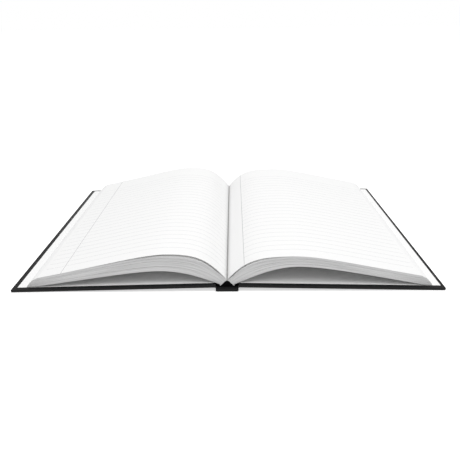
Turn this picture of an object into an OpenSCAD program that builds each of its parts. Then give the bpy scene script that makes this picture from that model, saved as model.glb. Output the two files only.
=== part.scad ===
// Open composition notebook, lying face up on a table and seen from its tail edge.
// X runs across the spread, Y from tail to head, Z up. The origin is on the table
// under the middle of the spine. Every length is in millimetres.

/* [Case] */
// Reach of a cover from its hinge line to its fore-edge
cover_reach = 193.8; // [193:0.1:230]
// Thickness of a cover board
board_t = 2.2; // [1.5:0.1:3]
// Thickness of the covering cloth
cloth_t = 0.3; // [0.2:0.05:0.5]
// Thickness of a pastedown
paste_t = 0.2; // [0.1:0.05:0.4]
// Width of the cloth turned in over the inside of a board
turn_in = 15; // [8:1:25]
// Margin of the case past the leaves at tail and head
square = 4; // [2:0.5:6]
// Margin of turned-in cloth left bare along the front cover's fore-edge
front_margin = 5.2; // [2:0.1:6]
// Margin of turned-in cloth left bare along the back cover's fore-edge
back_margin = 3.6; // [2:0.1:6]

/* [Spine] */
// Width of the flat spine
spine_w = 21.5; // [20:0.5:30]
// Height of the hinge lines above the table
hinge_z = 4.4; // [4:0.1:6]
// Radius of the spine's two lower edges
spine_r = 1.3; // [0.5:0.1:2]
// Gap between a hinge line and the end of its board
joint_gap = 1.3; // [0.8:0.1:3]
// Height of the lining's ridge above the table
ridge_z = 9.6; // [9:0.1:11]
// Radius of the lining's rounded ridge
ridge_r = 2; // [1:0.1:3]
// Width of the lining where it stands on the spine
lining_w = 12.4; // [11:0.2:13.6]

/* [Leaves] */
// Height of a leaf, from tail to head
leaf_h = 246; // [140:1:310]
// Height of the fold above the table
fold_z = 11; // [10.8:0.1:14]
// Width of the slit between the two halves at the fold
fold_gap = 1.2; // [0.9:0.1:2]
// Number of bundles that the leaves of a half have parted into
bundles = 4; // [2:1:6]
// Width of the slits between the bundles
slit = 0.35; // [0.2:0.05:0.8]

/* [Front half] */
// Distance of the front half's crest from the middle of the spine
front_crest_x = 55.4; // [45:0.2:80]
// Height of the front half's crest
front_crest_z = 38.6; // [34:0.1:45]
// Distance of the top of the hollow under the front half from the middle
front_hollow_x = 63; // [50:1:80]
// Height of the hollow under the front half
front_hollow_z = 20.7; // [14:0.1:22]
// Distance of the front half's upper fore-edge corner from the middle
front_edge_x = 177.4; // [172:0.2:180]
// Height of the front half's upper fore-edge corner
front_edge_z = 14; // [11:0.1:16]
// Distance of the front half's lower fore-edge corner from the middle
front_foot_x = 190.7; // [189:0.1:196]
// Distance at which the front half comes down on its pastedown
front_land_x = 185; // [176:1:188]
// Slope at which the front half comes down, in degrees
front_land_slope = 8.5; // [2:0.5:12]

/* [Back half] */
// Distance of the back half's crest from the middle of the spine
back_crest_x = 63.2; // [45:0.2:80]
// Height of the back half's crest
back_crest_z = 35.7; // [34:0.1:45]
// Distance of the top of the hollow under the back half from the middle
back_hollow_x = 66; // [50:1:80]
// Height of the hollow under the back half
back_hollow_z = 24.7; // [14:0.1:26]
// Distance of the back half's upper fore-edge corner from the middle
back_edge_x = 180.4; // [175:0.2:183]
// Height of the back half's upper fore-edge corner
back_edge_z = 14.2; // [11:0.1:16]
// Distance of the back half's lower fore-edge corner from the middle
back_foot_x = 193.2; // [191:0.1:197]
// Distance at which the back half comes down on its pastedown
back_land_x = 188; // [180:1:190]
// Slope at which the back half comes down, in degrees
back_land_slope = 11.5; // [2:0.5:14]

/* [Sewing] */
// Thickness of the sewing thread
thread_d = 0.7; // [0.5:0.05:0.8]
// Length of one stitch and the space after it
stitch_pitch = 9.2; // [6:0.1:20]
// Share of the pitch that lies on top of the fold
stitch_share = 0.62; // [0.4:0.02:0.8]

/* [Hidden] */

cloth_colour = "#1b1b1d";
board_colour = "#9a8f80";
paper_colour = "#f7f7f5";
lining_colour = "#26262a";
thread_colour = "#a9a9a6";

// The covers slope down from the hinge lines until their fore-edges meet the table.
cover_tilt = asin(hinge_z / cover_reach);
// Bare end of the cloth before its hinge line, so that the cover turns freely
cloth_clear = 0.4;
// Clearance between pieces that ride on different bodies
clear = 0.35;
// Gap between the leaves' underside and the pastedown that they lie on
rest_gap = 0.05;
// Gap under the thread, which lies on the ridge, and the share of its thickness left between stitches
seat_gap = 0.01;
core_share = 0.7;

// Height of the case, from tail to head
case_h = leaf_h + 2 * square;
board_top = cloth_t + board_t;
turned_top = board_top + cloth_t;
cover_t = turned_top + paste_t;
spine_half = spine_w / 2;
lining_half = lining_w / 2;
// Height at which the lining's flanks start to lean in
knee_z = turned_top + 0.8;
// The ridge is an arc that the straight flanks meet as tangents, this far round from its top
ridge_mid_z = ridge_z - ridge_r;
knee_reach = norm([lining_half, ridge_mid_z - knee_z]);
ridge_turn = atan2(ridge_mid_z - knee_z, lining_half) + asin(ridge_r / knee_reach);
// Heel of each half, where its underside starts beside the lining
heel_x = lining_half + 1.1;
heel_z = hinge_z + 1.4;
fold_x = fold_gap / 2;
// A slit starts this far along its layer, where 1 is the crest, and runs out past the fore-edge
slit_start = 0.45;
slit_run_out = [2, -0.3];
curve_steps = 14;
arc_steps = 6;
edge_steps = 6;
// How far a cutter reaches past what it cuts, and how far joined pieces of a section overlap
over = 1;
lap = 0.01;

// Handles of the curves: the steep rise beside the fold, the level crest, the fall to the fore-edge
rise_handle = 28;
rise_angle = 51.5;
crest_share = 0.53;
crest_handle = 22;
fall_handle = 63;
fall_angle = 11.5;
// Handles of the underside: at the heel, at the top of the hollow, and where it comes down
heel_handle = 13;
heel_angle = 23;
hollow_handle = 25;
land_handle = 46;
// Handle of the rounded fore-edge at both of its ends, its slope at the foot, and the power by which
// the layers share it out
edge_handle = 5;
foot_angle = 120;
edge_power = 0.7;

// Point on a cubic curve from a to d, with b and c as its handles
function cubic(a, b, c, d, t) =
    a * pow(1 - t, 3) + b * 3 * t * pow(1 - t, 2) + c * 3 * t * t * (1 - t) + d * pow(t, 3);

function polar(length, angle) = [length * cos(angle), length * sin(angle)];

// Height of a cover's inner face at a distance x from the middle of the spine
function cover_face(x) = hinge_z - (x - spine_half) * tan(cover_tilt) + cover_t / cos(cover_tilt);

// Height at which the leaves lie on that face
function lie_z(x) = cover_face(x) + rest_gap;

// A half is described by [crest, upper fore-edge corner, top of the hollow, landing point,
// lower fore-edge corner, landing slope], in X and Z on the +X side.
front_half = [[front_crest_x, front_crest_z], [front_edge_x, front_edge_z],
    [front_hollow_x, front_hollow_z], [front_land_x, lie_z(front_land_x)],
    [front_foot_x, lie_z(front_foot_x)], front_land_slope];
back_half = [[back_crest_x, back_crest_z], [back_edge_x, back_edge_z],
    [back_hollow_x, back_hollow_z], [back_land_x, lie_z(back_land_x)],
    [back_foot_x, lie_z(back_foot_x)], back_land_slope];

// Upper outline of half h: t runs from 0 at the fold to 1 at the crest and 2 at the fore-edge
function top_at(h, t) = let (fold = [fold_x, fold_z], crest = h[0], edge = h[1]) t < 1
    ? cubic(fold, fold + polar(rise_handle, rise_angle), crest - [crest[0] * crest_share, 0], crest, t)
    : cubic(crest, crest + [crest_handle, 0], edge + polar(fall_handle, 180 - fall_angle), edge, t - 1);

// Lower outline of half h, from its heel to the top of the hollow and to where it lands
function under_at(h, t) = let (heel = [heel_x, heel_z], hollow = h[2], land = h[3]) t < 1
    ? cubic(heel, heel + polar(heel_handle, heel_angle), hollow - [hollow_handle, 0], hollow, t)
    : cubic(hollow, hollow + [hollow_handle, 0], land + polar(land_handle, 180 - h[5]), land, t - 1);

// Rounded fore-edge of half h, from its upper corner at u = 0 to its lower corner at u = 1
function edge_at(h, u) = cubic(h[1], h[1] + polar(edge_handle, -fall_angle),
    h[4] + polar(edge_handle, foot_angle), h[4], u);

// Point between a and b, where u is 0 at a and 1 at b
function between(a, b, u) = a * (1 - u) + b * u;

// Pieces of the spine

// Half-open channel section of the spine, with its two lower edges rounded
module channel_section(half, low, high, r) {
    translate([-half, low + r]) square([2 * half, high - low - r]);
    translate([-half + r, low]) square([2 * (half - r), r + lap]);
    for (s = [-1, 1]) {
        translate([s * (half - r), low + r]) circle(r = r, $fn = 48);
    }
}

// Stands a section drawn in X and Z up, and draws it out along Y about the middle
module along_spine(length) {
    translate([0, length / 2, 0]) rotate([90, 0, 0]) linear_extrude(length) children();
}

module spine_cloth() {
    color(cloth_colour) union() {
        difference() {
            along_spine(case_h) channel_section(spine_half, 0, hinge_z - cloth_clear, spine_r);
            along_spine(case_h - 2 * cloth_t)
                channel_section(spine_half - cloth_t, cloth_t, hinge_z, spine_r - cloth_t);
            translate([-spine_half + cloth_t, -case_h / 2 - over, turned_top])
                cube([spine_w - 2 * cloth_t, case_h + 2 * over, hinge_z]);
        }
        for (s = [-1, 1]) {
            translate([-spine_half + cloth_t, s * (case_h / 2 - turn_in / 2) - turn_in / 2, board_top])
                cube([spine_w - 2 * cloth_t, turn_in, cloth_t]);
        }
    }
}

module spine_board() {
    color(board_colour)
        along_spine(case_h - 2 * cloth_t)
            channel_section(spine_half - cloth_t, cloth_t, board_top, spine_r - cloth_t);
}

// Right side of the lining's ridge, grown by g: from the angle first round to the knee
function ridge_side(first, g) = concat(
    [for (i = [0:arc_steps]) let (a = first + (ridge_turn - first) * i / arc_steps)
        [(ridge_r + g) * sin(a), ridge_mid_z + (ridge_r + g) * cos(a)]],
    [[lining_half + g * sin(ridge_turn), knee_z + g * cos(ridge_turn)]]);

// The lined back of the sewn sheets: a ridge glued to the spine
module back_lining() {
    side = ridge_side(0, 0);
    n = len(side) - 1;
    outline = concat(side, [[lining_half, turned_top], [-lining_half, turned_top]],
        [for (i = [n:-1:1]) [-side[i][0], side[i][1]]]);
    color(lining_colour) union() {
        along_spine(leaf_h) polygon(outline);
        translate([-lining_half, -case_h / 2 + turn_in, board_top])
            cube([lining_w, case_h - 2 * turn_in, cloth_t]);
    }
}

// One thread along the fold: it lies in stitches, and dips into the fold between them
module sewing_thread() {
    stitches = floor(leaf_h / stitch_pitch) - 1;
    run = stitch_pitch * stitch_share;
    core_d = thread_d * core_share;
    core_h = (stitches - 1) * stitch_pitch;
    color(thread_colour) union() {
        translate([0, 0, ridge_z + seat_gap * 2 + core_d / 2])
            rotate([90, 0, 0]) cylinder(d = core_d, h = core_h, center = true, $fn = 24);
        for (i = [0:stitches - 1]) {
            translate([0, (i - (stitches - 1) / 2) * stitch_pitch, ridge_z + seat_gap + thread_d / 2])
                rotate([90, 0, 0]) cylinder(d = thread_d, h = run, center = true, $fn = 24);
        }
    }
}

// Pieces of a cover, drawn on the +X side

// Puts a cover drawn flat, with its hinge line along Y, onto its hinge and slope
module on_hinge() {
    translate([spine_half, 0, hinge_z]) rotate([0, cover_tilt, 0]) children();
}

module cover_board() {
    translate([joint_gap, -case_h / 2 + cloth_t, cloth_t])
        cube([cover_reach - joint_gap - cloth_t, case_h - 2 * cloth_t, board_t]);
}

module cover_cloth() {
    inner_x = cloth_clear - over;
    difference() {
        translate([cloth_clear, -case_h / 2, 0])
            cube([cover_reach - cloth_clear, case_h, turned_top]);
        translate([inner_x, -case_h / 2 + cloth_t, cloth_t])
            cube([cover_reach - cloth_t - inner_x, case_h - 2 * cloth_t, board_t]);
        translate([inner_x, -case_h / 2 + turn_in, cloth_t])
            cube([cover_reach - turn_in - inner_x, case_h - 2 * turn_in, cover_t]);
        translate([inner_x, -case_h / 2 - over, cloth_t])
            cube([joint_gap - inner_x, case_h + 2 * over, cover_t]);
    }
}

// The pastedown lies over the turned-in cloth, up to its margin, and is pasted to the bare board inside it
module cover_pastedown(margin) {
    translate([joint_gap, -leaf_h / 2, turned_top])
        cube([cover_reach - joint_gap - margin, leaf_h, paste_t]);
    translate([joint_gap, -case_h / 2 + turn_in, board_top])
        cube([cover_reach - joint_gap - turn_in, case_h - 2 * turn_in, cloth_t]);
}

// Leaves, drawn on the +X side

// Slit under bundle u of half h, where u is 0 on the upper outline and 1 on the lower
module bundle_slit(h, u) {
    middle = [for (i = [0:curve_steps])
        let (t = slit_start + (2 - slit_start) * i / curve_steps) between(top_at(h, t), under_at(h, t), u)];
    end = edge_at(h, pow(u, edge_power));
    path = concat(middle, [end, end + slit_run_out]);
    n = len(path) - 1;
    polygon(concat([for (p = path) p + [0, slit / 2]], [for (i = [n:-1:0]) path[i] - [0, slit / 2]]));
}

module leaves(h) {
    top = [for (i = [0:2 * curve_steps]) top_at(h, i / curve_steps)];
    fore_edge = [for (i = [1:edge_steps]) edge_at(h, i / edge_steps)];
    under = [for (i = [2 * curve_steps:-1:0]) under_at(h, i / curve_steps)];
    // The inner end follows the lining's ridge and flank at the clearance
    ridge = ridge_side(asin(fold_x / (ridge_r + clear)), clear);
    inner = [for (i = [len(ridge) - 1:-1:0]) ridge[i]];
    along_spine(leaf_h) difference() {
        polygon(concat(top, fore_edge, under, inner));
        for (k = [1:bundles - 1]) {
            bundle_slit(h, k / bundles);
        }
    }
}

module front_leaves() {
    color(paper_colour) mirror([1, 0, 0]) leaves(front_half);
}

module back_leaves() {
    color(paper_colour) leaves(back_half);
}

module front_board() {
    color(board_colour) mirror([1, 0, 0]) on_hinge() cover_board();
}

module front_cloth() {
    color(cloth_colour) mirror([1, 0, 0]) on_hinge() cover_cloth();
}

module front_pastedown() {
    color(paper_colour) mirror([1, 0, 0]) on_hinge() cover_pastedown(front_margin);
}

module back_board() {
    color(board_colour) on_hinge() cover_board();
}

module back_cloth() {
    color(cloth_colour) on_hinge() cover_cloth();
}

module back_pastedown() {
    color(paper_colour) on_hinge() cover_pastedown(back_margin);
}

spine_board();
spine_cloth();
back_lining();
sewing_thread();
front_board();
front_cloth();
front_pastedown();
front_leaves();
back_board();
back_cloth();
back_pastedown();
back_leaves();
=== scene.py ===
import math
from collections import namedtuple

import bmesh
import bpy
import numpy as np
from mathutils import Matrix, Vector


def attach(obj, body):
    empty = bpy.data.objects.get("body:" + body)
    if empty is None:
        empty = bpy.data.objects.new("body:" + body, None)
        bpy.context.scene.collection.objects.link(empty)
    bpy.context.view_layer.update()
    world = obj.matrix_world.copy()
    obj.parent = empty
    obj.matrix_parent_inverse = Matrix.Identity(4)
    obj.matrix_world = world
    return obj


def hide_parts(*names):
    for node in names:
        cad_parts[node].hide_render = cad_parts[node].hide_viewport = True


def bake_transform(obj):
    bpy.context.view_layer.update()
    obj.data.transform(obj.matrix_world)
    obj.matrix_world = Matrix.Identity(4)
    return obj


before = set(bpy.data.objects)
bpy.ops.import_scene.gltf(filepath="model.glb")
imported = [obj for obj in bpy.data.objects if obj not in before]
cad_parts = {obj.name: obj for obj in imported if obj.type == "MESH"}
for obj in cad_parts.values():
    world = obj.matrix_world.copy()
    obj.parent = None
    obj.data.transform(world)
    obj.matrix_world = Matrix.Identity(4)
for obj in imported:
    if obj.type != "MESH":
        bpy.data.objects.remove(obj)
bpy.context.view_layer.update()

# Lengths are millimetres in the part's frame, as in the source, and MM turns them into metres. The depths of
# bumps, the lamp and the camera are written in metres.
MM = 0.001

# Case: the covers slope down from the hinge lines until their fore-edges meet the table
CASE_H = 254.0
COVER_REACH = 193.8
BOARD_T, CLOTH_T, PASTE_T = 2.2, 0.3, 0.2
TURNED_TOP = CLOTH_T + BOARD_T + CLOTH_T
COVER_T = TURNED_TOP + PASTE_T
SPINE_W = 21.5
SPINE_HALF = SPINE_W / 2
HINGE_Z = 4.4
TILT = math.asin(HINGE_Z / COVER_REACH)
# A cover's turn from the table to the closed book, in degrees
CLOSE_DEG = 91.3
# Gap between a hinge line and its cover's cloth, and the rounding of the cloth's edges
CLOTH_CLEAR, CLOTH_ROUND = 0.4, 0.55

# Lining: a rounded ridge on straight flanks, which lean in from the knee up
RIDGE_Z, RIDGE_R, LINING_HALF, KNEE_Z = 9.6, 2.0, 6.2, 3.6
RIDGE_MID_Z = RIDGE_Z - RIDGE_R
# Clearance of the leaves from the lining
CLEAR = 0.35

# Leaves
LEAF_H = 246.0
# Where the upper outline of a half starts at the fold, and the lower one beside the lining
FOLD, HEEL = (0.3, 11.0), (7.3, 5.8)
# Half the gap between the halves lower down, where the thread lies
THREAD_GAP = 0.6
# Beside the fold the pages dip by this much, over this run
FOLD_DIP, DIP_RUN = 0.45, 1.0
# Gap between the leaves' underside and the pastedown that they lie on
REST_GAP = 0.05
# Thickness of a half where its leaves lie pressed
PRESSED_T = 7.65
# In the closed book the leaves of a half stand between these distances from the middle
CLOSED_INNER, CLOSED_OUTER = 0.45, 7.55

# Handles of the upper outline: the steep rise beside the fold, the level crest, the fall to the fore-edge.
# The crest's handle towards the fold is a share of its distance from the middle.
RISE_HANDLE, RISE_ANGLE = 28, 51.5
CREST_SHARE, CREST_HANDLE = 0.53, 22
FALL_HANDLE, FALL_ANGLE = 63, 11.5
# Handles of the lower outline: at the heel, at the top of the hollow, and where it comes down
HEEL_HANDLE, HEEL_ANGLE = 13, 23
HOLLOW_HANDLE, LAND_HANDLE = 25, 46
# Handle of the rounded fore-edge at both of its ends, its slope at the foot, and the power by which the
# layers share it out
EDGE_HANDLE, FOOT_ANGLE, EDGE_POWER = 5, 120, 0.7

# Outline of a half on the +X side: crest, upper fore-edge corner, top of the hollow, landing point, lower
# fore-edge corner and landing slope
Half = namedtuple("Half", "crest edge hollow land foot land_slope")


def lie_z(x):
    """Height at which the leaves lie on a pastedown, at a distance x from the middle of the spine."""
    return HINGE_Z - (x - SPINE_HALF) * math.tan(TILT) + COVER_T / math.cos(TILT) + REST_GAP


def half_outline(crest, edge, hollow, land_x, foot_x, land_slope):
    return Half(crest, edge, hollow, (land_x, lie_z(land_x)), (foot_x, lie_z(foot_x)), land_slope)


FRONT_HALF = half_outline(crest=(55.4, 38.6), edge=(177.4, 14), hollow=(63, 20.7),
                          land_x=185, foot_x=190.7, land_slope=8.5)
BACK_HALF = half_outline(crest=(63.2, 35.7), edge=(180.4, 14.2), hollow=(66, 24.7),
                         land_x=188, foot_x=193.2, land_slope=11.5)


# Curves

def polar(length, deg):
    return np.array([length * math.cos(math.radians(deg)), length * math.sin(math.radians(deg))])


def cubic(a, b, c, d, t):
    """Point on a cubic curve from a to d, with b and c as its handles."""
    a, b, c, d = (np.asarray(p, float) for p in (a, b, c, d))
    return a * (1 - t) ** 3 + b * 3 * t * (1 - t) ** 2 + c * 3 * t * t * (1 - t) + d * t ** 3


def top_at(half, t):
    """Upper outline of a half: t runs from 0 at the fold to 1 at the crest and 2 at the fore-edge."""
    fold, crest, edge = (np.array(p, float) for p in (FOLD, half.crest, half.edge))
    if t < 1:
        return cubic(fold, fold + polar(RISE_HANDLE, RISE_ANGLE),
                     crest - (crest[0] * CREST_SHARE, 0), crest, t)
    return cubic(crest, crest + (CREST_HANDLE, 0),
                 edge + polar(FALL_HANDLE, 180 - FALL_ANGLE), edge, t - 1)


def under_at(half, t):
    """Lower outline of a half, from its heel to the top of the hollow and to where it lands."""
    heel, hollow, land = (np.array(p, float) for p in (HEEL, half.hollow, half.land))
    if t < 1:
        return cubic(heel, heel + polar(HEEL_HANDLE, HEEL_ANGLE),
                     hollow - (HOLLOW_HANDLE, 0), hollow, t)
    return cubic(hollow, hollow + (HOLLOW_HANDLE, 0),
                 land + polar(LAND_HANDLE, 180 - half.land_slope), land, t - 1)


def edge_at(half, u):
    """Rounded fore-edge of a half, from its upper corner at u = 0 to its lower corner at u = 1."""
    return cubic(half.edge, half.edge + polar(EDGE_HANDLE, -FALL_ANGLE),
                 half.foot + polar(EDGE_HANDLE, FOOT_ANGLE), half.foot, u ** EDGE_POWER)


def run_along(pts):
    """Distance along a line of points, at each of them."""
    return np.r_[0, np.cumsum(np.hypot(*np.diff(pts, axis=0).T))]


def ridge_line(count):
    """The lining's ridge and flank at the clearance, from the fold down to the knee, evenly spaced."""
    arc_points = 12
    r = RIDGE_R + CLEAR
    knee_drop = RIDGE_MID_Z - KNEE_Z
    turn = math.atan2(knee_drop, LINING_HALF) + math.asin(RIDGE_R / math.hypot(LINING_HALF, knee_drop))
    pts = [(r * math.sin(a), RIDGE_MID_Z + r * math.cos(a))
           for a in np.linspace(math.asin(THREAD_GAP / r), turn, arc_points)]
    pts.append((LINING_HALF + CLEAR * math.sin(turn), KNEE_Z + CLEAR * math.cos(turn)))
    pts = np.array(pts)
    run = run_along(pts)
    at = np.linspace(0, run[-1], count)
    return np.c_[np.interp(at, run, pts[:, 0]), np.interp(at, run, pts[:, 1])]


# Nodes of the materials

def material(name):
    m = bpy.data.materials.new(name)
    m.use_nodes = True
    nt = m.node_tree
    bsdf = next(n for n in nt.nodes if n.type == "BSDF_PRINCIPLED")
    return m, nt, bsdf


def node(nt, kind, **values):
    """A new node with these values, each of a property or else of an input."""
    n = nt.nodes.new(kind)
    for key, value in values.items():
        if hasattr(n, key):
            setattr(n, key, value)
        else:
            n.inputs[key].default_value = value
    return n


def feed(nt, socket, value):
    """Sets a constant on a socket, or links an output to it."""
    if isinstance(value, (tuple, float, int)):
        socket.default_value = value
    else:
        nt.links.new(value, socket)


def math_node(nt, op, *values, clamp=False):
    n = node(nt, "ShaderNodeMath", operation=op, use_clamp=clamp)
    for socket, value in zip(n.inputs, values):
        feed(nt, socket, value)
    return n.outputs[0]


def mix_colour(nt, factor, a, b):
    n = node(nt, "ShaderNodeMix", data_type="RGBA")
    for key, value in (("Factor", factor), ("A", a), ("B", b)):
        feed(nt, n.inputs[key], value)
    return n.outputs["Result"]


def add_bump(nt, bsdf, height, strength, distance):
    n = node(nt, "ShaderNodeBump", Strength=strength, Distance=distance)
    nt.links.new(height, n.inputs["Height"])
    nt.links.new(n.outputs["Normal"], bsdf.inputs["Normal"])


def set_gloss(bsdf, roughness, specular):
    bsdf.inputs["Roughness"].default_value = roughness
    bsdf.inputs["Specular IOR Level"].default_value = specular


def toned(colour, factor):
    """The colour made darker or lighter by a factor."""
    return tuple(c * factor for c in colour[:3]) + (1,)


def page_place(nt):
    """A mesh's page coordinates in mm: the vector, then its run from the fold, place on the spine, depth."""
    page = node(nt, "ShaderNodeAttribute", attribute_name="page").outputs["Vector"]
    split = node(nt, "ShaderNodeSeparateXYZ")
    nt.links.new(page, split.inputs[0])
    return page, list(split.outputs)


def object_place(nt):
    return node(nt, "ShaderNodeTexCoord").outputs["Object"]


def seen(nt):
    """1 for a ray of the camera, a reflection or a transmission, and 0 for any other."""
    path = node(nt, "ShaderNodeLightPath")
    return math_node(nt, "MAXIMUM", path.outputs["Is Camera Ray"],
                     math_node(nt, "MAXIMUM", path.outputs["Is Glossy Ray"],
                               path.outputs["Is Transmission Ray"]))


# Paper

PAPER = (0.90, 0.90, 0.898, 1)
PAPER_GLOSS = {"roughness": 0.85, "specular": 0.25}
# Rules and margin line: width, ink, and how far the ink covers the paper
RULE_W, RULE_INK, RULE_COVER = 0.3, (0.50, 0.51, 0.53, 1), 0.85
MARGIN_W, MARGIN_INK, MARGIN_COVER = 0.55, (0.36, 0.36, 0.37, 1), 0.72
RULE_PITCH = 8.73
# Places of the first rule, at the head, and of the last, at the tail. The ruling ends this far past them.
HEAD_RULE, TAIL_RULE, RULING_OVER = 91.0, -110.0, 1
# Towards the fold the paper is shaded to this colour, by this much and over this run
FOLD_DARK, FOLD_SHADE, SHADE_RUN = (0.05, 0.05, 0.05, 1), 0.45, 2.2


def page_material(name, margin_at, rules_from, rules_to, tone=1.0):
    """Ruled paper: the margin line and the ends of the rules lie at these runs from the fold. The paper
    darkens towards the fold as painted shade, and a tone below 1 darkens all its colours as painted shade.
    """
    m, nt, bsdf = material(name)
    page, (s, y, _) = page_place(nt)
    # Distance to the nearest rule, in pitches
    k = math_node(nt, "DIVIDE", math_node(nt, "SUBTRACT", HEAD_RULE, y), RULE_PITCH)
    near = math_node(nt, "ABSOLUTE", math_node(nt, "SUBTRACT", k, math_node(nt, "ROUND", k)))
    on_rule = math_node(nt, "LESS_THAN", near, RULE_W / 2 / RULE_PITCH)
    for place, op, limit in ((y, "LESS_THAN", HEAD_RULE + RULING_OVER),
                             (y, "GREATER_THAN", TAIL_RULE - RULING_OVER),
                             (s, "GREATER_THAN", rules_from), (s, "LESS_THAN", rules_to)):
        on_rule = math_node(nt, "MULTIPLY", on_rule, math_node(nt, op, place, limit))
    off = math_node(nt, "ABSOLUTE", math_node(nt, "SUBTRACT", s, margin_at))
    on_margin = math_node(nt, "LESS_THAN", off, MARGIN_W / 2)
    # A tone below 1 darkens the paper and inks alike, as painted shade
    colour = toned(PAPER, tone)
    for on_line, cover, ink in ((on_rule, RULE_COVER, RULE_INK), (on_margin, MARGIN_COVER, MARGIN_INK)):
        colour = mix_colour(nt, math_node(nt, "MULTIPLY", on_line, cover), colour, toned(ink, tone))
    fade = math_node(nt, "EXPONENT", math_node(nt, "DIVIDE", s, -SHADE_RUN))
    shade = math_node(nt, "MULTIPLY", fade, FOLD_SHADE, clamp=True)
    nt.links.new(mix_colour(nt, shade, colour, FOLD_DARK), bsdf.inputs["Base Color"])
    set_gloss(bsdf, **PAPER_GLOSS)
    grain = node(nt, "ShaderNodeTexNoise", Scale=0.9, Detail=3.0, Roughness=0.6)
    nt.links.new(page, grain.inputs["Vector"])
    add_bump(nt, bsdf, grain.outputs["Fac"], strength=0.05, distance=0.0001)
    return m


def layer_noise(nt, place, scales, detail):
    """Noise drawn out along the layers: place and scales are run from the fold, along the spine, depth."""
    drawn_out = node(nt, "ShaderNodeCombineXYZ")
    for socket, value, scale in zip(drawn_out.inputs, place, scales):
        nt.links.new(math_node(nt, "MULTIPLY", value, scale), socket)
    noise = node(nt, "ShaderNodeTexNoise", Scale=1.0, Detail=detail, Roughness=0.55)
    nt.links.new(drawn_out.outputs[0], noise.inputs["Vector"])
    return noise.outputs["Fac"]


# The lines on the leaves' edges go from dark to light between these values of the noise
LINES_DARK, LINES_LIGHT = 0.36, 0.60


def edge_material(name, dark, light):
    """Cut edges of the leaves: fine lines that follow the layers, partly the edges' own grain and partly
    painted shade where leaves part. Its dark and light greys set the overall tone, lowered for painted shade
    and raised for painted light.
    """
    m, nt, bsdf = material(name)
    _, place = page_place(nt)
    fine = layer_noise(nt, place, scales=(0.012, 0.02, 9.0), detail=2.0)
    coarse = layer_noise(nt, place, scales=(0.02, 0.03, 2.6), detail=3.0)
    lines = math_node(nt, "MULTIPLY_ADD", fine, 0.5, math_node(nt, "MULTIPLY", coarse, 0.5))
    ramp = node(nt, "ShaderNodeValToRGB")
    for element, position, grey in zip(ramp.color_ramp.elements, (LINES_DARK, LINES_LIGHT), (dark, light)):
        element.position = position
        element.color = (grey, grey, grey, 1)
    nt.links.new(lines, ramp.inputs["Fac"])
    nt.links.new(ramp.outputs["Color"], bsdf.inputs["Base Color"])
    set_gloss(bsdf, roughness=0.9, specular=0.15)
    add_bump(nt, bsdf, lines, strength=0.35, distance=0.0002)
    return m


def paper_material(name, colour):
    m, _, bsdf = material(name)
    bsdf.inputs["Base Color"].default_value = colour
    set_gloss(bsdf, **PAPER_GLOSS)
    return m


# Cloth, board and thread

# Length of a wave of the wave texture at a scale of 1
WAVE_LENGTH = 0.314
# The weave changes the cloth's tone between these factors
WEAVE_DARK, WEAVE_LIGHT = 0.7, 1.5


def cloth_material(name, colour, pitch, roughness, specular, sheen):
    """Fine-grained book cloth: a close weave of this pitch, as bump and a slight change of tone."""
    m, nt, bsdf = material(name)
    place = object_place(nt)
    waves = []
    for direction in ("X", "Y"):
        wave = node(nt, "ShaderNodeTexWave", wave_type="BANDS", bands_direction=direction,
                    Scale=WAVE_LENGTH / (pitch * MM), Distortion=1.2, Detail=1.0)
        nt.links.new(place, wave.inputs["Vector"])
        waves.append(wave.outputs["Fac"])
    weave = math_node(nt, "MULTIPLY", *waves)
    tone = mix_colour(nt, weave, toned(colour, WEAVE_DARK), toned(colour, WEAVE_LIGHT))
    nt.links.new(tone, bsdf.inputs["Base Color"])
    set_gloss(bsdf, roughness, specular)
    bsdf.inputs["Sheen Weight"].default_value = sheen
    bsdf.inputs["Sheen Roughness"].default_value = 0.3
    add_bump(nt, bsdf, weave, strength=0.4, distance=0.00006)
    return m


def two_tone_material(name, kind, values, dark, light, roughness):
    """A texture node of this kind, which shows between a dark and a light colour."""
    m, nt, bsdf = material(name)
    texture = node(nt, kind, **values)
    nt.links.new(object_place(nt), texture.inputs["Vector"])
    nt.links.new(mix_colour(nt, texture.outputs["Fac"], dark, light), bsdf.inputs["Base Color"])
    bsdf.inputs["Roughness"].default_value = roughness
    return m


MAT_CLOTH = cloth_material("book_cloth", (0.007, 0.007, 0.0075, 1), pitch=0.45,
                           roughness=0.6, specular=0.17, sheen=0.25)
MAT_LINING = cloth_material("back_lining_cloth", (0.0022, 0.0022, 0.0025, 1), pitch=0.7,
                            roughness=0.9, specular=0.06, sheen=0.0)
MAT_BOARD = two_tone_material("greyboard", "ShaderNodeTexNoise", {"Scale": 900.0, "Detail": 3.0},
                              dark=(0.26, 0.22, 0.17, 1), light=(0.38, 0.33, 0.26, 1), roughness=0.9)
MAT_PASTE = paper_material("pastedown_paper", PAPER)
# The fold sheet's paper is painted dark grey, as painted shade deep in the gutter
MAT_FOLD_SHADED = paper_material("fold_paper_painted_shade", (0.35, 0.35, 0.348, 1))
# Head and tail edges are painted darker than the same paper, as painted shade, and the fore-edges lighter, as
# painted light
MAT_SHADED_EDGE = edge_material("leaf_edges_painted_shade", dark=0.52, light=0.78)
MAT_LIT_FORE_EDGE = edge_material("fore_edges_painted_light", dark=0.84, light=0.93)
MAT_THREAD = two_tone_material("sewing_thread", "ShaderNodeTexWave",
                               {"wave_type": "BANDS", "bands_direction": "DIAGONAL", "Scale": 900.0},
                               dark=(0.30, 0.30, 0.295, 1), light=(0.46, 0.46, 0.45, 1), roughness=0.7)
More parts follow.
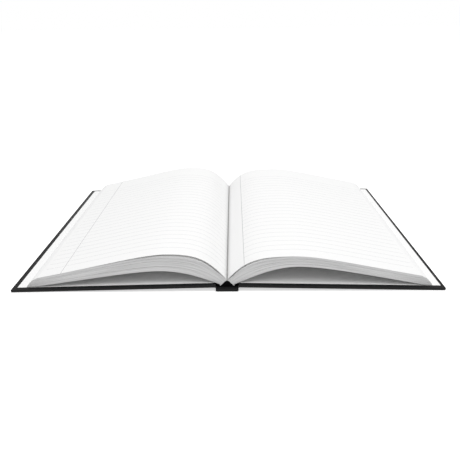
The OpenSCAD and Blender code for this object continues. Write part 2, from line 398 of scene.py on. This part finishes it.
# The back half's rules start at its margin line, and the front half's run on down into the fold
FRONT_RULING = {"margin_at": 167.5, "rules_from": -5, "rules_to": 187}
BACK_RULING = {"margin_at": 22.6, "rules_from": 22.6, "rules_to": 188}
MAT_FRONT_PAGE = page_material("front_page", **FRONT_RULING)
MAT_BACK_PAGE = page_material("back_page", **BACK_RULING)
# The underside of each half lies over the hollow, and its paper and inks are darkened by this factor as
# painted shade
UNDER_PAINTED_SHADE = 0.6
MAT_FRONT_UNDER_SHADED = page_material("front_under_page_painted_shade", **FRONT_RULING, tone=UNDER_PAINTED_SHADE)
MAT_BACK_UNDER_SHADED = page_material("back_under_page_painted_shade", **BACK_RULING, tone=UNDER_PAINTED_SHADE)


# Meshes

def add_object(name, data):
    ob = bpy.data.objects.new(name, data)
    bpy.context.scene.collection.objects.link(ob)
    return ob


def mesh_object(name, verts, faces, materials, face_slots=None):
    me = bpy.data.meshes.new(name)
    me.from_pydata([tuple(c * MM for c in v) for v in verts], [], faces)
    for m in materials:
        me.materials.append(m)
    if face_slots is not None:
        me.polygons.foreach_set("material_index", face_slots)
    me.validate()
    me.update()
    return add_object(name, me)


def fix_normals(ob):
    bm = bmesh.new()
    bm.from_mesh(ob.data)
    bmesh.ops.recalc_face_normals(bm, faces=bm.faces)
    bm.to_mesh(ob.data)
    bm.free()


def smooth_by_angle(ob, deg):
    for p in ob.data.polygons:
        p.use_smooth = True
    ob.data.set_sharp_from_angle(angle=math.radians(deg))


def page_attribute(ob, values):
    a = ob.data.attributes.new("page", "FLOAT_VECTOR", "POINT")
    a.data.foreach_set("vector", np.asarray(values, np.float32).ravel())


def bend_at_hinge(ob):
    """Bakes a piece's placement into its mesh."""
    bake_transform(ob)


# Leaves

# Step -1 of a half is on the lining's ridge, steps 0 to RUNS are on the outlines, and the last is on the
# fore-edge.
RUNS = 64
STEPS = range(-1, RUNS + 2)
# The runs end at this t on the outlines. Beside the fold, where the pages dip, they are shorter by this
# share, which fades by this power.
LAST_T, FINER, FINER_POWER = 1.97, 0.8, 12
# Steps through a bundle, and points that describe the ridge
DEEP, RIDGE_POINTS = 4, 41
# The least length to divide by
TINY = 1e-6
# Material slots of a half
PAGE_SLOT, EDGE_SLOT, FORE_EDGE_SLOT, UNDER_SLOT = range(4)

# The part of a slit's width that a bundle gives up, and the steps at which the slit starts, is open, starts
# to close and ends
Slit = namedtuple("Slit", "width steps")
# The depth shares between which a bundle lies, and the slits above and below it
Bundle = namedtuple("Bundle", "top bottom above below")

SLIT_W = 0.35
# A slit between bundles is open from step 18 on, and closes only past the fore-edge
ALONG = (12, 18, 90, 91)
SHUT, HALF_SLIT = Slit(0, ALONG), Slit(SLIT_W / 2, ALONG)


def bundles(limits, top_gap):
    """Bundles between these depth shares. The gap under the thin top one is taken from the second."""
    inside = [HALF_SLIT] * (len(limits) - 3)
    above = [SHUT, top_gap] + inside
    below = [SHUT] + inside + [SHUT]
    return [Bundle(*values) for values in zip(limits, limits[1:], above, below)]


FRONT_BUNDLES = bundles((0.0, 0.012, 0.24, 0.4, 0.72, 1.0), top_gap=Slit(2.2, (1, 8, 40, 60)))
BACK_BUNDLES = bundles((0.0, 0.02, 0.25, 0.5, 0.75, 1.0), top_gap=Slit(1.7, (0, 4, 14, 34)))


def layer_points(half):
    """Gives the function that places a half's points by step and depth share."""
    s = np.linspace(0, 1, RUNS + 1)
    ts = LAST_T * s * (1 - FINER * (1 - s) ** FINER_POWER)
    tops = np.array([top_at(half, t) for t in ts])
    tops[:, 1] -= FOLD_DIP * np.exp((FOLD[0] - tops[:, 0]) / DIP_RUN)
    unders = np.array([under_at(half, t) for t in ts])
    ridge = ridge_line(RIDGE_POINTS)
    ridge_u = np.linspace(0, 1, RIDGE_POINTS)

    def point(step, u):
        if step < 0:
            return np.array([np.interp(u, ridge_u, ridge[:, 0]), np.interp(u, ridge_u, ridge[:, 1])])
        if step > RUNS:
            return edge_at(half, u)
        return tops[step] * (1 - u) + unders[step] * u

    return point


def bundle_section(point, bundle):
    """A bundle's section: at each step its points from top to bottom, with their depth shares."""
    section = []
    for step in STEPS:
        top = point(step, bundle.top)
        down = point(step, bundle.bottom) - top
        # The share of the bundle that a slit takes shrinks where the half is thick
        thick = max(TINY, float(np.hypot(*down)))
        above, below = (slit.width * np.interp(step, slit.steps, (0, 1, 1, 0)) / thick
                        for slit in (bundle.above, bundle.below))
        shares = [above + (1 - above - below) * layer / DEEP for layer in range(DEEP + 1)]
        section.append([(top + down * share, bundle.top + (bundle.bottom - bundle.top) * share)
                        for share in shares])
    return section


def bundle_faces(under_slot):
    """Faces of a bundle that is drawn out from tail to head, each with its material slot."""
    last = len(STEPS) - 1

    def at(end, step, layer):
        return (end * len(STEPS) + step) * (DEEP + 1) + layer

    for a in range(last):
        for layer, slot in ((0, PAGE_SLOT), (DEEP, under_slot)):
            yield [at(0, a, layer), at(0, a + 1, layer), at(1, a + 1, layer), at(1, a, layer)], slot
        for b in range(DEEP):
            for end in (0, 1):
                yield [at(end, a, b), at(end, a + 1, b), at(end, a + 1, b + 1), at(end, a, b + 1)], EDGE_SLOT
    for b in range(DEEP):
        for a, slot in ((0, EDGE_SLOT), (last, FORE_EDGE_SLOT)):
            yield [at(0, a, b), at(0, a, b + 1), at(1, a, b + 1), at(1, a, b)], slot


def close_weight(x, z, depth):
    """Share of the cover's turn that brings a leaf's point to its place in the closed book.

    Every point turns about the hinge line, so it keeps its distance from it. In the closed book a leaf stands
    upright, at a distance from the middle that grows with its depth in the half."""
    dx, dz = x - SPINE_HALF, z - HINGE_Z
    r = math.hypot(dx, dz)
    stand_x = CLOSED_INNER + (CLOSED_OUTER - CLOSED_INNER) * depth
    inward = min(1.0, (SPINE_HALF - stand_x) / max(r, TINY))
    closed = 90 + math.degrees(math.asin(inward))
    now = math.degrees(math.atan2(dz, dx))
    return min(1.0, max(0.0, (closed - now) / CLOSE_DEG))


def leaves(word, side, half, half_bundles, page_mat, under_mat):
    """One half of the leaves: bundles parted by thin slits, drawn out from tail to head."""
    point = layer_points(half)
    verts, page, weights, faces, slots = [], [], [], [], []
    for bundle in half_bundles:
        section = bundle_section(point, bundle)
        run = run_along([column[0][0] for column in section])
        run -= run[1]
        first = len(verts)
        for y in (-LEAF_H / 2, LEAF_H / 2):
            for s, column in zip(run, section):
                for (x, z), depth in column:
                    verts.append((side * x, y, z))
                    page.append((s, y, depth * PRESSED_T))
                    weights.append(close_weight(x, z, depth))
        for face, slot in bundle_faces(UNDER_SLOT if bundle is half_bundles[-1] else PAGE_SLOT):
            faces.append([first + k for k in face])
            slots.append(slot)
    ob = mesh_object(word + "_leaf_bundles", verts, faces,
                     [page_mat, MAT_SHADED_EDGE, MAT_LIT_FORE_EDGE, under_mat], slots)
    fix_normals(ob)
    page_attribute(ob, page)
    smooth_by_angle(ob, 35)
    bend_at_hinge(ob)
    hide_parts(word + "_leaves")


def fold_sheet():
    """The middle sheet where it crosses from one half to the other, under the thread. Its paper is dark grey,
    as painted shade in the slit.
    """
    turn_deg, n = 50, 17
    lower_r, upper_r = RIDGE_R + 0.02, RIDGE_R + 0.1
    section = [(r * math.sin(a), RIDGE_MID_Z + r * math.cos(a))
               for r in (lower_r, upper_r) for a in np.radians(np.linspace(-turn_deg, turn_deg, n))]
    verts = [(x, y, z) for y in (-LEAF_H / 2, LEAF_H / 2) for x, z in section]
    faces = []
    for k in range(n - 1):
        for row in (0, n):
            faces.append([row + k, row + k + 1, 2 * n + row + k + 1, 2 * n + row + k])
        for end in (0, 2 * n):
            faces.append([end + k, end + k + 1, end + n + k + 1, end + n + k])
    for k in (0, n - 1):
        faces.append([k, n + k, 3 * n + k, 2 * n + k])
    ob = mesh_object("fold_sheet", verts, faces, [MAT_FOLD_SHADED])
    fix_normals(ob)
    smooth_by_angle(ob, 35)
    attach(ob, "spine")


# Covers, and the strips of cloth across their joints

def cover_point(side, d, h):
    """Point of a cover at distance d from its hinge line and height h over its outer face."""
    return (side * (SPINE_HALF + d * math.cos(TILT) + h * math.sin(TILT)),
            HINGE_Z - d * math.sin(TILT) + h * math.cos(TILT))


def cover_cloth(word, side):
    """The cloth round a board, with softly rounded edges."""
    me = bpy.data.meshes.new(word + "_cover_cloth")
    bm = bmesh.new()
    corners = []
    for y in (-CASE_H / 2, CASE_H / 2):
        for d, h in ((CLOTH_CLEAR, 0), (COVER_REACH, 0),
                     (COVER_REACH, TURNED_TOP), (CLOTH_CLEAR, TURNED_TOP)):
            x, z = cover_point(side, d, h)
            corners.append(bm.verts.new((x * MM, y * MM, z * MM)))
    tail, head = corners[:4], corners[4:]
    bm.faces.new(tail)
    bm.faces.new(head[::-1])
    for i in range(4):
        j = (i + 1) % 4
        bm.faces.new([tail[i], head[i], head[j], tail[j]])
    bmesh.ops.recalc_face_normals(bm, faces=bm.faces)
    bmesh.ops.bevel(bm, geom=list(bm.edges), offset=CLOTH_ROUND * MM, segments=3, affect="EDGES", profile=0.5)
    bm.to_mesh(me)
    bm.free()
    me.materials.append(MAT_CLOTH)
    ob = add_object(word + "_cover_cloth", me)
    smooth_by_angle(ob, 40)
    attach(ob, word + "_cover")
    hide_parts(word + "_cloth")


def strip(name, side, path, thickness, y_half, mat):
    """A strip of cloth across a hinge line: path gives x, z and the share of the cover's turn along its upper
    face."""
    upper = np.array([point[:2] for point in path], float)
    dirs = np.gradient(upper, axis=0)
    normals = np.c_[-dirs[:, 1], dirs[:, 0]]
    normals /= np.linalg.norm(normals, axis=1)[:, None]
    lower = upper - normals * thickness
    n = len(path)
    verts, weights, faces = [], [], []
    for y in (-y_half, y_half):
        for row in (upper, lower):
            for (x, z), (_, _, share) in zip(row, path):
                verts.append((side * x, y, z))
                weights.append(share)

    def at(end, row, k):
        return (end * 2 + row) * n + k

    for k in range(n - 1):
        for row in (0, 1):
            faces.append([at(0, row, k), at(0, row, k + 1), at(1, row, k + 1), at(1, row, k)])
        for end in (0, 1):
            faces.append([at(end, 0, k), at(end, 0, k + 1), at(end, 1, k + 1), at(end, 1, k)])
    for k in (0, n - 1):
        faces.append([at(0, 0, k), at(0, 1, k), at(1, 1, k), at(1, 0, k)])
    ob = mesh_object(name, verts, faces, [mat])
    fix_normals(ob)
    smooth_by_angle(ob, 60)
    bend_at_hinge(ob)


# The covering cloth's strip runs up the spine's side, over the hinge line and into the cover
JOINT_CLOTH_T = 0.29
JOINT_CLOTH = [(SPINE_HALF - 0.27, 3.2, 0), (SPINE_HALF - 0.27, 3.9, 0), (SPINE_HALF - 0.1, 4.35, 0.35),
               (SPINE_HALF + 0.45, 4.62, 1), (SPINE_HALF + 1.2, 4.62, 1)]
# The lining's strip runs from the spine beside the ridge, in a loose fold, to the inside of the cover
JOINT_LINING_T = 0.15
JOINT_LINING = [(7.2, 2.82, 0), (8.1, 4.9, 0), (9.4, 3.9, 0.1), (10.6, 4.5, 0.5)]
JOINT_LINING += [cover_point(1, d, h) + (1,)
                 for d, h in ((0.9, 1.6), (1.1, TURNED_TOP + 0.05), (1.9, TURNED_TOP + 0.23))]

leaves("front", -1, FRONT_HALF, FRONT_BUNDLES, MAT_FRONT_PAGE, MAT_FRONT_UNDER_SHADED)
leaves("back", 1, BACK_HALF, BACK_BUNDLES, MAT_BACK_PAGE, MAT_BACK_UNDER_SHADED)
fold_sheet()
for side, word in ((-1, "front"), (1, "back")):
    cover_cloth(word, side)
    strip(word + "_joint_cloth", side, JOINT_CLOTH, JOINT_CLOTH_T,
          CASE_H / 2 - CLOTH_T, MAT_CLOTH)
    strip(word + "_joint_lining", side, JOINT_LINING, JOINT_LINING_T,
          LEAF_H / 2, MAT_LINING)

# CAD pieces that show as they are
CAD_LOOKS = {
    "spine_board": MAT_BOARD, "front_board": MAT_BOARD, "back_board": MAT_BOARD,
    "spine_cloth": MAT_CLOTH, "back_lining": MAT_LINING, "sewing_thread": MAT_THREAD,
    "front_pastedown": MAT_PASTE, "back_pastedown": MAT_PASTE,
}
for name, mat in CAD_LOOKS.items():
    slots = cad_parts[name].data.materials
    slots.clear()
    slots.append(mat)


# Stage, light and camera

WHITE = (1, 1, 1, 1)
# The floor is square and lies just under the table's level, where no face of the part meets it
FLOOR_HALF, FLOOR_Z = 12000, -0.05
FLOOR_COLOUR = (0.88, 0.88, 0.88, 1)
# What the floor and the world gain for the rays that see them, which brings them to white
FLOOR_GLOW, WORLD_GLOW = 0.56, 0.48
WORLD_LIGHT = 0.52
LAMP_AT, LAMP_SIZE, LAMP_WATTS = (0.15, -0.25, 1.6), 1.4, 18.1
# The camera was fitted to the case's corners and spine in the photograph's frame, 460 pixels square
CAM_AT = (0.00692, -0.44362, 0.22757)
YAW, PITCH, ROLL = math.radians(-0.647), math.radians(27.155), math.radians(0.674)
FOCAL_PX, FRAME_PX, SENSOR = 409.9, 460, 36.0


def floor_material():
    m, nt, bsdf = material("floor_white")
    nt.nodes.remove(bsdf)
    diffuse = node(nt, "ShaderNodeBsdfDiffuse", Color=FLOOR_COLOUR)
    glow = node(nt, "ShaderNodeEmission", Color=WHITE)
    nt.links.new(math_node(nt, "MULTIPLY", seen(nt), FLOOR_GLOW), glow.inputs["Strength"])
    add = node(nt, "ShaderNodeAddShader")
    nt.links.new(diffuse.outputs[0], add.inputs[0])
    nt.links.new(glow.outputs[0], add.inputs[1])
    out = next(n for n in nt.nodes if n.type == "OUTPUT_MATERIAL")
    nt.links.new(add.outputs[0], out.inputs["Surface"])
    return m


def floor():
    """A pale floor that keeps the part's shadow."""
    corners = [(x * FLOOR_HALF, y * FLOOR_HALF, FLOOR_Z) for x, y in ((-1, -1), (1, -1), (1, 1), (-1, 1))]
    mesh_object("floor", corners, [(0, 1, 2, 3)], [floor_material()])


def surround(scene):
    """Soft light from all round, which looks white."""
    world = bpy.data.worlds.new("studio")
    scene.world = world
    world.use_nodes = True
    nt = world.node_tree
    back = next(n for n in nt.nodes if n.type == "BACKGROUND")
    back.inputs["Color"].default_value = WHITE
    nt.links.new(math_node(nt, "MULTIPLY_ADD", seen(nt), WORLD_GLOW, WORLD_LIGHT), back.inputs["Strength"])


def lamp():
    """A large soft lamp over the part, aimed at its middle."""
    data = bpy.data.lights.new("top_softbox", "AREA")
    data.shape = "SQUARE"
    data.size = LAMP_SIZE
    data.energy = LAMP_WATTS
    ob = add_object("top_softbox", data)
    ob.location = LAMP_AT
    ob.rotation_euler = (-Vector(LAMP_AT)).to_track_quat("-Z", "Y").to_euler()


def camera(scene):
    ahead = Vector((math.sin(YAW) * math.cos(PITCH), math.cos(YAW) * math.cos(PITCH), -math.sin(PITCH)))
    level = Vector((math.cos(YAW), -math.sin(YAW), 0))
    down = ahead.cross(level)
    right = level * math.cos(ROLL) + down * math.sin(ROLL)
    down = down * math.cos(ROLL) - level * math.sin(ROLL)
    data = bpy.data.cameras.new("camera")
    data.sensor_width = SENSOR
    data.lens = SENSOR * FOCAL_PX / FRAME_PX
    data.clip_start, data.clip_end = 0.01, 50
    ob = add_object("camera", data)
    turn = Matrix((right, -down, -ahead)).transposed().to_4x4()
    ob.matrix_world = Matrix.Translation(CAM_AT) @ turn
    scene.camera = ob


scene = bpy.context.scene
floor()
surround(scene)
lamp()
camera(scene)
scene.view_settings.view_transform = "Standard"
